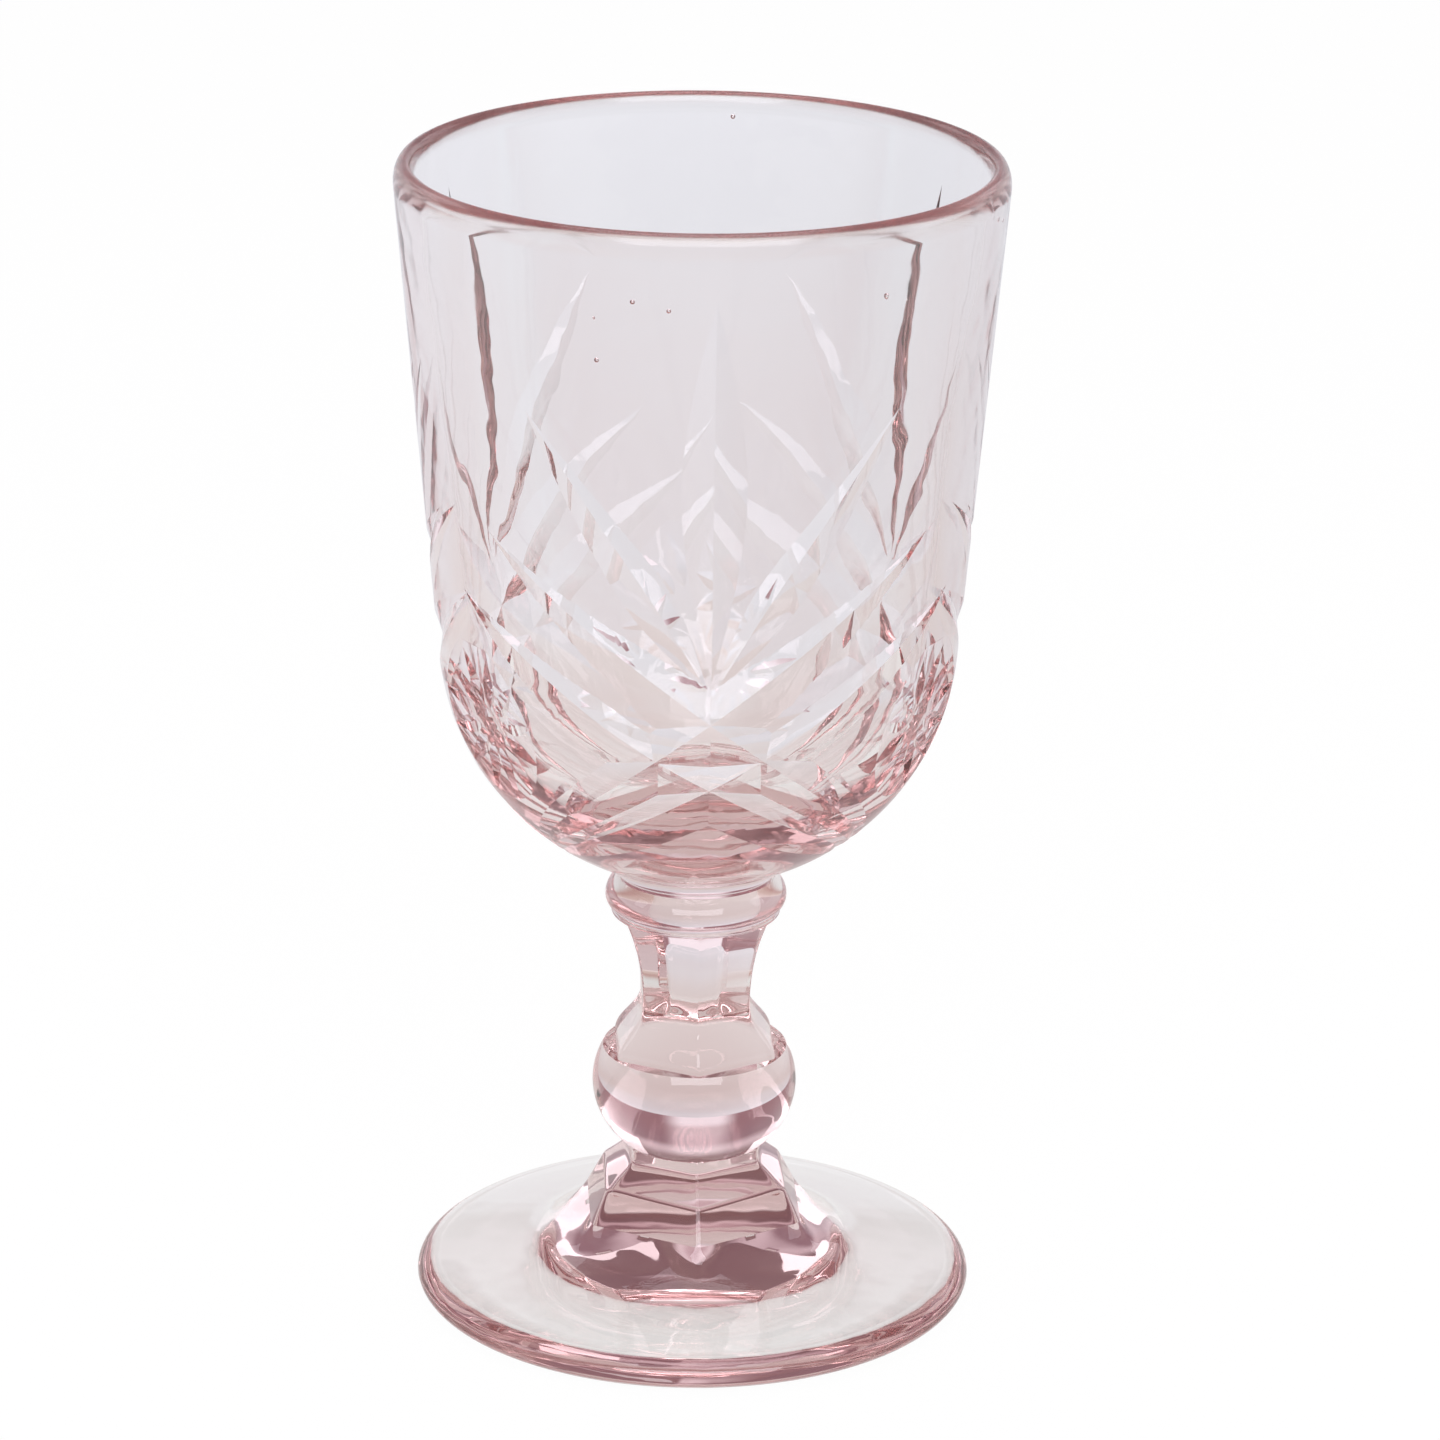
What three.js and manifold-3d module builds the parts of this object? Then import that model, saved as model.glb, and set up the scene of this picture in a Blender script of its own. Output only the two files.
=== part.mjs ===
// Goblet of pressed rose glass: foot, plinth, knop, neck, collar and bowl, fused one on the other.
// Millimetres, +Z up, origin under the middle of the foot. A corner of the stem and a fan face -Y.

import * as THREE from 'three'
import { mergeVertices } from 'three/addons/utils/BufferGeometryUtils.js'
import Module from 'manifold-3d'

// Heights of the sections, from the table up
const footHeight = 12.2
const plinthHeight = 9.8
const knopHeight = 21.5
const neckHeight = 12.8
const collarHeight = 6
const bowlHeight = 102.7

// Foot
const footRadius = 39.4
const footEdge = 4.4
const footSlope = 2.1
const creaseRadius = 24.5
const skirtPull = 2.4
const skirtRise = 1.1
const standOuter = 36
const standInner = 32.7
const hollowFlat = 1
const hollowDepth = 1.4

// Six-sided plinth, by its corners
const plinthCorner = 17.2
const plinthBelt = 14.55
const plinthBeltHeight = 4.7
const plinthLedge = 10.95
const plinthLedgeHeight = 7.5
const plinthTop = 10.3
const plinthStep = 0.7

// Knop and its six-sided shoulder
const knopSeat = 10
const knopRadius = 14.45
const knopBelly = 9
const crownRadius = 13
const crownHeight = 14.3
const crownLedge = 0.15

// Six-sided neck, by its corners
const neckWaist = 8.74
const neckBend = 7
const neckFlare = 11.4

// Collar, as wide below as the corners of the neck and above as the post of the bowl
const collarRadius = 12.85
const collarNose = 2.7

// Bowl
const postRadius = 11.2
const postHeight = 1.9
const bowlRadius = 36.1
const rimRadius = 42
const lipThickness = 3
const wallThickness = 4.2
const bottomThickness = 8.2

// Pattern on the bowl: fans of mitre cuts with star rosettes between them
const fanCount = 3
const mitreSlope = 0.24
const mitreDepth = 1.3
const tipRise = 0.1
const leafGap = 5
const leafFoot = 3.6
const rosetteDrop = 9
const rosetteSink = 1.7
const starRadius = 11.8
const starPoints = 12
const starStride = 5
const starSlope = 0.9
const starDepth = 0.55

// Blades of half a fan: degrees from its middle, millimetres up from the equator, share of the full depth
const upperBlade = [[39, 41.2, 0], [24, 26.2, 0.5], [12, 14.5, 0.65], [0.5, 2.5, 0]]
const middleBlade = [[51, 22, 0], [24, 8.8, 0.6], [0, -2.7, 1], [-29, -16.5, 0.8], [-68, -33.5, 0]]
const lowerBlade = [[62, 12, 0], [36, 1.2, 0.6], [0, -13.5, 1], [-30, -24.5, 0.75], [-68, -35.5, 0]]

// How finely round forms are divided, and how far cutters stand out of the glass
const roundSides = 48
const hexSides = 6
const hollowSteps = 5
const skirtSteps = 6
const lipSteps = 6
const sideSteps = 8
const ballSteps = 12
const bladeSteps = 12
const chordSteps = 3
const cutLift = 1.2

// Heights of the joints between sections
const plinthBase = footHeight
const knopBase = plinthBase + plinthHeight
const neckBase = knopBase + knopHeight
const collarBase = neckBase + neckHeight
const bowlBase = collarBase + collarHeight
const rimHeight = bowlBase + bowlHeight
const equatorHeight = bowlBase + postHeight + Math.sqrt(bowlRadius ** 2 - postRadius ** 2)

const wasm = await Module()
wasm.setup()

const degree = Math.PI / 180

// Closed mesh with shared corners and without empty triangles
function closed(geometry) {
  geometry.deleteAttribute('normal')
  geometry.deleteAttribute('uv')
  const merged = mergeVertices(geometry, 1e-4)
  const index = merged.index.array
  const kept = []
  for (let i = 0; i < index.length; i += 3) {
    const [a, b, c] = [index[i], index[i + 1], index[i + 2]]
    if (a !== b && b !== c && c !== a) kept.push(a, b, c)
  }
  merged.setIndex(kept)
  return merged
}

function solid(geometry) {
  const body = closed(geometry)
  return new wasm.Manifold(new wasm.Mesh({
    numProp: 3,
    vertProperties: new Float32Array(body.attributes.position.array),
    triVerts: new Uint32Array(body.index.array),
  }))
}

function geometryOf(manifold) {
  const mesh = manifold.getMesh()
  const geometry = new THREE.BufferGeometry()
  geometry.setAttribute('position', new THREE.BufferAttribute(mesh.vertProperties, 3))
  geometry.setIndex(new THREE.BufferAttribute(mesh.triVerts, 1))
  return geometry
}

// Skin over a row of sections with as many corners each, closed by the first and the last
function loft(sections) {
  const count = sections[0].length
  const points = sections.flat()
  const position = points.flatMap((point) => [point.x, point.y, point.z])
  const apart = (a, b) => points[a].distanceTo(points[b])
  const index = []
  for (let row = 0; row + 1 < sections.length; row++) {
    for (let i = 0; i < count; i++) {
      const a = row * count + i
      const b = row * count + (i + 1) % count
      if (apart(a, b + count) <= apart(b, a + count)) {
        index.push(a, b, b + count, a, b + count, a + count)
      } else {
        index.push(a, b, a + count, b, b + count, a + count)
      }
    }
  }
  const last = (sections.length - 1) * count
  for (let i = 1; i + 1 < count; i++) {
    index.push(0, i + 1, i, last, last + i, last + i + 1)
  }
  const geometry = new THREE.BufferGeometry()
  geometry.setAttribute('position', new THREE.Float32BufferAttribute(position, 3))
  geometry.setIndex(index)
  return geometry
}

// Ring round the axis between a circle, flats 0, and a hexagon with a corner to the front, flats 1
function ring(radius, z, flats, sides) {
  const points = []
  for (let i = 0; i < sides; i++) {
    const angle = (i / sides) * 2 * Math.PI
    const fromFlat = (angle % (60 * degree)) - 30 * degree
    const hexagon = Math.cos(30 * degree) / Math.cos(fromFlat)
    const reach = radius * (1 + flats * (hexagon - 1))
    points.push(new THREE.Vector3(reach * Math.sin(angle), -reach * Math.cos(angle), z))
  }
  return points
}

// Solid of revolution about the axis from a profile of radius and height
function revolve(profile, sides) {
  const geometry = new THREE.LatheGeometry(profile, sides)
  return geometry.rotateX(Math.PI / 2).rotateZ(-Math.PI / 2)
}

function arc(centreX, centreY, radiusX, radiusY, from, to, steps) {
  const clockwise = to < from
  const curve = new THREE.EllipseCurve(centreX, centreY, radiusX, radiusY, from, to, clockwise)
  return curve.getPoints(steps)
}

function bezier(points, steps) {
  const corners = points.map(([x, y]) => new THREE.Vector2(x, y))
  return new THREE.QuadraticBezierCurve(...corners).getPoints(steps)
}

// Foot: stand ring, rolled edge, sloping top and a skirt that turns from round to six-sided
function makeFoot() {
  const half = footEdge / 2
  const reach = footRadius - standOuter
  const crease = footEdge + footSlope
  const hollow = [[hollowFlat, hollowDepth], [standInner / 2, hollowDepth], [standInner, 0]]
  const under = bezier(hollow, hollowSteps)
  const edge = arc(standOuter, half, reach, half, -Math.PI / 2, Math.PI / 2, sideSteps)
  const bend = [plinthCorner + skirtPull, crease + skirtRise]
  const skirt = bezier([[creaseRadius, crease], bend, [plinthCorner, footHeight]], skirtSteps)
  const rings = [...under, ...edge].map((p) => ring(p.x, p.y, 0, roundSides))
  skirt.forEach((p, i) => rings.push(ring(p.x, p.y, (i / skirtSteps) ** 2, roundSides)))
  return loft(rings)
}

// Plinth: two sloping tiers, a small ledge and an upright band
function makePlinth() {
  const rows = [
    [plinthCorner, 0],
    [plinthBelt, plinthBeltHeight],
    [plinthLedge, plinthLedgeHeight],
    [plinthTop, plinthLedgeHeight + plinthStep],
    [plinthTop, plinthHeight],
  ]
  return loft(rows.map(([corner, z]) => ring(corner, plinthBase + z, 1, hexSides)))
}

// Knop: ball up to the crown, then a six-sided shoulder that eases in to the neck
function makeKnop() {
  const lower = Math.acos(knopSeat / knopRadius)
  const upper = Math.acos(crownRadius / knopRadius)
  const below = knopBelly / Math.sin(lower)
  const above = (crownHeight - knopBelly) / Math.sin(upper)
  const middle = knopBase + knopBelly
  const ball = [
    ...arc(0, middle, knopRadius, below, -lower, 0, sideSteps),
    ...arc(0, middle, knopRadius, above, 0, upper, sideSteps / 2).slice(1),
  ]
  const rings = ball.map((p) => ring(p.x, p.y, 0, roundSides))
  const shoulder = crownRadius - crownLedge
  for (let i = 0; i <= sideSteps; i++) {
    const t = i / sideSteps
    const ease = (1 + Math.cos(Math.PI * t)) / 2
    const z = knopBase + crownHeight + (knopHeight - crownHeight) * t
    rings.push(ring(neckWaist + (shoulder - neckWaist) * ease, z, 1, roundSides))
  }
  return loft(rings)
}

// Neck: six hollow-curved faces from the waist out to the collar
function makeNeck() {
  const top = collarBase
  const bend = neckBase + neckBend
  const side = bezier([[neckWaist, neckBase], [neckWaist, bend], [neckFlare, top]], sideSteps)
  return loft(side.map((p) => ring(p.x, p.y, 1, hexSides)))
}

// Collar: ring with a round nose between two sloping shoulders
function makeCollar() {
  const nose = collarBase + collarNose
  const noseReach = 2 * collarRadius - (neckFlare + postRadius) / 2
  const side = bezier([[neckFlare, collarBase], [noseReach, nose], [postRadius, bowlBase]], sideSteps)
  const profile = [new THREE.Vector2(0, collarBase), ...side, new THREE.Vector2(0, bowlBase)]
  return revolve(profile, roundSides)
}

// Outside of the bowl: a ball whose upper tangent cone runs out to the rim
const lipRadius = lipThickness / 2
const rimRise = rimHeight - lipRadius - equatorHeight
const rimAway = Math.hypot(rimRadius, rimRise)
const flare = Math.acos(bowlRadius / rimAway) - Math.atan2(rimRise, rimRadius)
const tangentPath = -bowlRadius * flare
const rimPath = tangentPath + Math.sqrt(rimAway ** 2 - bowlRadius ** 2)

// Radius, height and outward lean of the outside at a way s along it, from the equator up
function outside(s) {
  const onBall = Math.min(s, tangentPath)
  const onCone = Math.max(s - tangentPath, 0)
  const lean = onBall / bowlRadius
  return {
    radius: bowlRadius * Math.cos(lean) - onCone * Math.sin(lean),
    z: equatorHeight + bowlRadius * Math.sin(lean) + onCone * Math.cos(lean),
    lean,
  }
}

// Point and outward direction on the outside, with the azimuth in degrees from the front
function onBowl(azimuth, s) {
  const { radius, z, lean } = outside(s)
  const across = new THREE.Vector3(Math.sin(azimuth * degree), -Math.cos(azimuth * degree), 0)
  const point = across.clone().multiplyScalar(radius).setZ(z)
  const outward = across.clone().multiplyScalar(Math.cos(lean)).setZ(Math.sin(lean))
  return { point, outward }
}

// V-shaped cutter whose edge runs through given points and depths below a surface
function mitre(place, stops, slope, steps) {
  const nearby = 0.01
  const course = new THREE.CatmullRomCurve3(stops.map((stop) => new THREE.Vector3(...stop)))
  const sections = []
  for (let i = 0; i <= steps; i++) {
    const t = i / steps
    const here = course.getPoint(t)
    const before = course.getPoint(Math.max(t - nearby, 0))
    const after = course.getPoint(Math.min(t + nearby, 1))
    const { point, outward } = place(here.x, here.y)
    const along = place(after.x, after.y).point.sub(place(before.x, before.y).point)
    const aside = along.cross(outward).normalize()
    const half = (here.z + cutLift) / slope
    const lifted = point.clone().addScaledVector(outward, cutLift)
    sections.push([
      point.clone().addScaledVector(outward, -here.z),
      lifted.clone().addScaledVector(aside, -half),
      lifted.clone().addScaledVector(aside, half),
    ])
  }
  return solid(loft(sections))
}

// Cuts of one fan: an upright leaf and three pairs of blades, the lower two crossing under it
function fanCuts(azimuth) {
  const leafTip = rimPath - leafGap
  const leafBelly = (leafTip + leafFoot) / 2
  const leaf = [[0, leafTip, 0], [0, leafBelly, 1], [0, leafFoot, 0]]
  const depth = (share) => share * mitreDepth - (share === 0 ? tipRise : 0)
  const cut = (stops, side) => {
    const course = stops.map(([az, s, share]) => [azimuth + side * az, s, depth(share)])
    return mitre(onBowl, course, mitreSlope, bladeSteps)
  }
  const cuts = [cut(leaf, 1)]
  for (const blade of [upperBlade, middleBlade, lowerBlade]) {
    cuts.push(cut(blade, 1), cut(blade, -1))
  }
  return cuts
}

// Flat cut square to the bowl's surface: everything outside the plane comes off
function flatCut(azimuth, s, sink) {
  const { point, outward } = onBowl(azimuth, s)
  const size = 2 * Math.sqrt(2 * bowlRadius * sink) + 2 * cutLift
  const block = new THREE.BoxGeometry(size, size, size)
  block.translate(0, 0, size / 2 - sink)
  const turn = new THREE.Quaternion().setFromUnitVectors(new THREE.Vector3(0, 0, 1), outward)
  block.applyQuaternion(turn)
  block.translate(point.x, point.y, point.z)
  return solid(block)
}

// Star rosette on a flat: straight mitre cuts from each point to the one a stride away
function rosetteCuts(azimuth) {
  const s = -rosetteDrop
  const { point, outward } = onBowl(azimuth, s)
  const across = new THREE.Vector3(Math.cos(azimuth * degree), Math.sin(azimuth * degree), 0)
  const upward = outward.clone().cross(across)
  const middle = point.clone().addScaledVector(outward, -rosetteSink)
  const onFlat = (x, y) => ({
    point: middle.clone().addScaledVector(across, x).addScaledVector(upward, y),
    outward: outward.clone(),
  })
  const corner = (i) => {
    const angle = ((i + 0.5) / starPoints) * 2 * Math.PI
    return new THREE.Vector2(starRadius * Math.cos(angle), starRadius * Math.sin(angle))
  }
  const cuts = [flatCut(azimuth, s, rosetteSink)]
  for (let i = 0; i < starPoints; i++) {
    const start = corner(i)
    const end = corner(i + starStride)
    const stops = []
    for (let k = 0; k <= chordSteps; k++) {
      const at = start.clone().lerp(end, k / chordSteps)
      const isTip = k === 0 || k === chordSteps
      stops.push([at.x, at.y, isTip ? -tipRise : starDepth])
    }
    cuts.push(mitre(onFlat, stops, starSlope, chordSteps))
  }
  return cuts
}

// Bowl: a short post, round bottom and flared wall outside, a smooth cup inside, and the cuts
function makeBowl() {
  const floor = bowlBase + bottomThickness
  const innerRadius = bowlRadius - wallThickness
  const postPath = -bowlRadius * Math.acos(postRadius / bowlRadius)
  const profile = [new THREE.Vector2(0, bowlBase), new THREE.Vector2(postRadius, bowlBase)]
  for (let i = 0; i <= ballSteps; i++) {
    const { radius, z } = outside(postPath + (tangentPath - postPath) * (i / ballSteps))
    profile.push(new THREE.Vector2(radius, z))
  }
  const lip = [rimRadius - lipRadius, rimHeight - lipRadius, lipRadius, lipRadius]
  profile.push(...arc(...lip, 0, Math.PI, lipSteps))
  profile.push(...arc(0, equatorHeight, innerRadius, equatorHeight - floor, 0, -Math.PI / 2, ballSteps))
  const cuts = []
  for (let i = 0; i < fanCount; i++) {
    const front = (i * 360) / fanCount
    cuts.push(...fanCuts(front), ...rosetteCuts(front + 180 / fanCount))
  }
  const blank = solid(revolve(profile, roundSides))
  return geometryOf(cuts.reduce((body, cutter) => body.subtract(cutter), blank))
}

// Thick glass shows more of the rose than the thin wall of the bowl
function glass(colour) {
  return new THREE.MeshStandardMaterial({ color: colour, roughness: 0.05, metalness: 0 })
}

const goblet = new THREE.Group()

function addSection(name, geometry, colour) {
  const mesh = new THREE.Mesh(geometry, glass(colour))
  mesh.name = name
  goblet.add(mesh)
}

addSection('foot', makeFoot(), 0xe0cfce)
addSection('plinth', makePlinth(), 0xc79a9b)
addSection('knop', makeKnop(), 0xcfa5a5)
addSection('neck', makeNeck(), 0xd3b3b2)
addSection('collar', makeCollar(), 0xdcc0bf)
addSection('bowl', makeBowl(), 0xe6dcdc)

export default goblet
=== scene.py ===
# %% [markdown]
# # A goblet of pale rose pressed glass
# This script dresses six solids of a goblet, foot to bowl, as one clear glass. Such a goblet can be drawn in many
# ways; here every section follows a rule, so short node trees turn profiles round the axis and sweep the cuts over
# the bowl. All lengths in the tables are millimetres, and one factor turns them into Blender's metres.

# %% Frame
import math
import bpy
import numpy as np
from mathutils import Matrix, Vector


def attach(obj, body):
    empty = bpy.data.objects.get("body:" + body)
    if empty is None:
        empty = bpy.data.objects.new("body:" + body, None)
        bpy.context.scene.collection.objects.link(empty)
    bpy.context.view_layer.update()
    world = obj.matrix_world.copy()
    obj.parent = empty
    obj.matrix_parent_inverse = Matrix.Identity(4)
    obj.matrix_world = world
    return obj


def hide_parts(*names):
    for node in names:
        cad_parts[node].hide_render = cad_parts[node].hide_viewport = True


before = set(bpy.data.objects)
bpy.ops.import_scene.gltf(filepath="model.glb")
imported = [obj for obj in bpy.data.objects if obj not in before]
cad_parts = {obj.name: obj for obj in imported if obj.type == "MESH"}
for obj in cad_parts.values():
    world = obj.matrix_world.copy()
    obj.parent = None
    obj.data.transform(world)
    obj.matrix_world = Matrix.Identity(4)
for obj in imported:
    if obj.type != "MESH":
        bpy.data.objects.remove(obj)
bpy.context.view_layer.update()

MM = 0.001
scene = bpy.context.scene
print("CAD nodes:", sorted(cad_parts))

# %% [markdown]
# ## Sizes
# The heights of the joints and the main radii are those of the solids, so each dressed section fills the place of
# its own solid. A corner of the six-sided stem and the middle of a fan face the camera, along -Y.

# %% Sizes
FOOT_TOP, PLINTH_TOP, KNOP_TOP, NECK_TOP, COLLAR_TOP, RIM = 12.2, 22.0, 43.5, 56.3, 62.3, 165.0
FOOT_RADIUS, FOOT_EDGE, CREASE_RADIUS, CREASE_HEIGHT = 39.4, 4.4, 24.5, 6.5
SKIRT_PULL, SKIRT_RISE, SKIRT_ROUND = 2.4, 1.1, 2
STAND_OUTER, STAND_INNER, HOLLOW = 36.0, 32.7, 1.4
PLINTH_CORNER, PLINTH_NECK = 17.2, 10.3
KNOP_RADIUS, KNOP_MIDDLE, KNOP_SEAT, CROWN_RADIUS, CROWN_HEIGHT = 14.45, 31.0, 10.0, 13.0, 36.3
WAIST, FLARE = 8.74, 11.4
POST_RADIUS, POST_HEIGHT, BALL, RIM_RADIUS, LIP = 11.2, 1.9, 36.1, 42.0, 1.5
LIP_TALL, LIP_WIDE, LIP_INSIDE, LIP_HAZE = 3.6, 1.9, 2.6, 0.18
FLOOR, INNER_RADIUS = 70.5, 31.9
EQUATOR = COLLAR_TOP + POST_HEIGHT + math.sqrt(BALL ** 2 - POST_RADIUS ** 2)
JOINTS = (FOOT_TOP, PLINTH_TOP, KNOP_TOP, NECK_TOP, COLLAR_TOP)
JOINT_GAP = 0.02
SIDES = 288
print("equator of the bowl at", round(EQUATOR, 2), "mm")

# %% [markdown]
# ## Building node trees from code
# A node tree can be drawn by hand in the editor. From code it is the same work: add a node, then fill its sockets
# with numbers or with other nodes' outputs. Two small functions keep that readable.

# %% Helpers for node trees
def tree_named(name, inputs):
    tree = bpy.data.node_groups.new(name, "GeometryNodeTree")
    tree.interface.new_socket("Geometry", in_out="INPUT", socket_type="NodeSocketGeometry")
    for label, value in inputs.items():
        kind = "NodeSocketInt" if isinstance(value, int) else "NodeSocketFloat"
        tree.interface.new_socket(label, in_out="INPUT", socket_type=kind).default_value = value
    tree.interface.new_socket("Geometry", in_out="OUTPUT", socket_type="NodeSocketGeometry")
    entry = tree.nodes.new("NodeGroupInput")
    return tree, {socket.name: socket for socket in entry.outputs}


def fill(tree, socket, value):
    if isinstance(value, bpy.types.NodeSocket):
        tree.links.new(value, socket)
    else:
        socket.default_value = value


def add(tree, kind, *values, out=0, named=None, **settings):
    node = tree.nodes.new(kind)
    for key, value in settings.items():
        setattr(node, key, value)
    for socket, value in zip([s for s in node.inputs if s.enabled], values):
        fill(tree, socket, value)
    for label, value in (named or {}).items():
        fill(tree, node.inputs[label], value)
    return [s for s in node.outputs if s.enabled][out]


def calc(tree, operation, *values):
    return add(tree, "ShaderNodeMath", *values, operation=operation)


def vector(tree, operation, *values):
    return add(tree, "ShaderNodeVectorMath", *values, operation=operation)


def finish_tree(tree, geometry):
    """Ends a tree: copies made real, then the glass set on the result."""
    real = add(tree, "GeometryNodeRealizeInstances", geometry)
    dressed = add(tree, "GeometryNodeSetMaterial", real, named={"Material": glass})
    tree.links.new(dressed, tree.nodes.new("NodeGroupOutput").inputs[0])
    return tree


def run_tree(tree, mesh, name, **inputs):
    """A plain mesh: the tree's result on a given mesh, with inputs set by their names."""
    carrier = bpy.data.objects.new(name, mesh)
    scene.collection.objects.link(carrier)
    modifier = carrier.modifiers.new(tree.name, "NODES")
    modifier.node_group = tree
    for item in tree.interface.items_tree:
        if item.in_out == "INPUT" and item.name.replace(" ", "_") in inputs:
            modifier[item.identifier] = inputs[item.name.replace(" ", "_")]
    evaluated = carrier.evaluated_get(bpy.context.evaluated_depsgraph_get())
    made = bpy.data.meshes.new_from_object(evaluated)
    bpy.data.objects.remove(carrier)
    made.name = name
    return made


# %% [markdown]
# ## Glass
# Clear glass bends light at its surface and swallows a little of it on the way through: thin walls stay pale and
# thick ones turn rose. So the colour sits in the volume, not on the surface. A real goblet is one melt, so the faces
# where two sections meet must not show. They carry the attribute `joint`, and there the shader lets light straight
# through. Fine noise in roughness and bump gives the slightly uneven skin of pressed glass, and the lip, worn by
# use, is a little hazier than the rest.

# %% Material
ROSE, ROSE_DENSITY, REFRACTION = (0.856, 0.72, 0.714), 45.0, 1.5
ROUGH_SCALE, ROUGH_MOST = 90.0, 0.035
SKIN_SCALE, SKIN_STRENGTH, SKIN_DEPTH = 160.0, 0.25, 0.0002
LIP_CREST = 0.6


def glass_material():
    material = bpy.data.materials.new("rose_glass")
    material.use_nodes = True
    tree = material.node_tree
    tree.nodes.clear()
    place = tree.nodes.new("ShaderNodeTexCoord").outputs["Object"]
    fine = add(tree, "ShaderNodeTexNoise", named={"Vector": place, "Scale": ROUGH_SCALE, "Detail": 2.0})
    rough = add(tree, "ShaderNodeMapRange", fine, 0.3, 0.7, 0.0, ROUGH_MOST)
    height = add(tree, "ShaderNodeSeparateXYZ", place, out=2)
    lip = add(tree, "ShaderNodeMapRange", height, (RIM - LIP_TALL) * MM, (RIM - LIP_CREST) * MM, 0.0, LIP_HAZE,
              interpolation_type="SMOOTHSTEP")
    rough = calc(tree, "ADD", rough, lip)
    skin = add(tree, "ShaderNodeTexNoise", named={"Vector": place, "Scale": SKIN_SCALE, "Detail": 1.0})
    bump = add(tree, "ShaderNodeBump", named={"Strength": SKIN_STRENGTH, "Distance": SKIN_DEPTH, "Height": skin})
    glass = tree.nodes.new("ShaderNodeBsdfPrincipled")
    glass.inputs["Base Color"].default_value = (1.0, 1.0, 1.0, 1.0)
    glass.inputs["IOR"].default_value = REFRACTION
    glass.inputs["Transmission Weight"].default_value = 1.0
    tree.links.new(rough, glass.inputs["Roughness"])
    tree.links.new(bump, glass.inputs["Normal"])
    through = tree.nodes.new("ShaderNodeBsdfTransparent")
    joint = tree.nodes.new("ShaderNodeAttribute")
    joint.attribute_name = "joint"
    mix = add(tree, "ShaderNodeMixShader", joint.outputs["Fac"], glass.outputs[0], through.outputs[0])
    rose = tree.nodes.new("ShaderNodeVolumeAbsorption")
    rose.inputs["Color"].default_value = (*ROSE, 1.0)
    rose.inputs["Density"].default_value = ROSE_DENSITY
    output = tree.nodes.new("ShaderNodeOutputMaterial")
    tree.links.new(mix, output.inputs["Surface"])
    tree.links.new(rose.outputs[0], output.inputs["Volume"])
    return material


glass = glass_material()
print("glass:", len(glass.node_tree.nodes), "nodes, density", ROSE_DENSITY)

# %% [markdown]
# ## Turning a profile
# A lathe modifier could spin a profile, but these sections change from round to six-sided on the way up. The tree
# below lays a grid of rows and columns, reads row after row of the profile, and sets each point at its angle. The
# share called `flats` blends a circle, 0, into a hexagon with soft corners, 1. Pressed glass also keeps three faint
# seams where the parts of the mould met; they stand out by a few hundredths of a millimetre.

# %% Tree for turned sections
SEAM_ANGLE, SEAM_START, CLOSE = 0.02, 2.0, 2e-6


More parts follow.
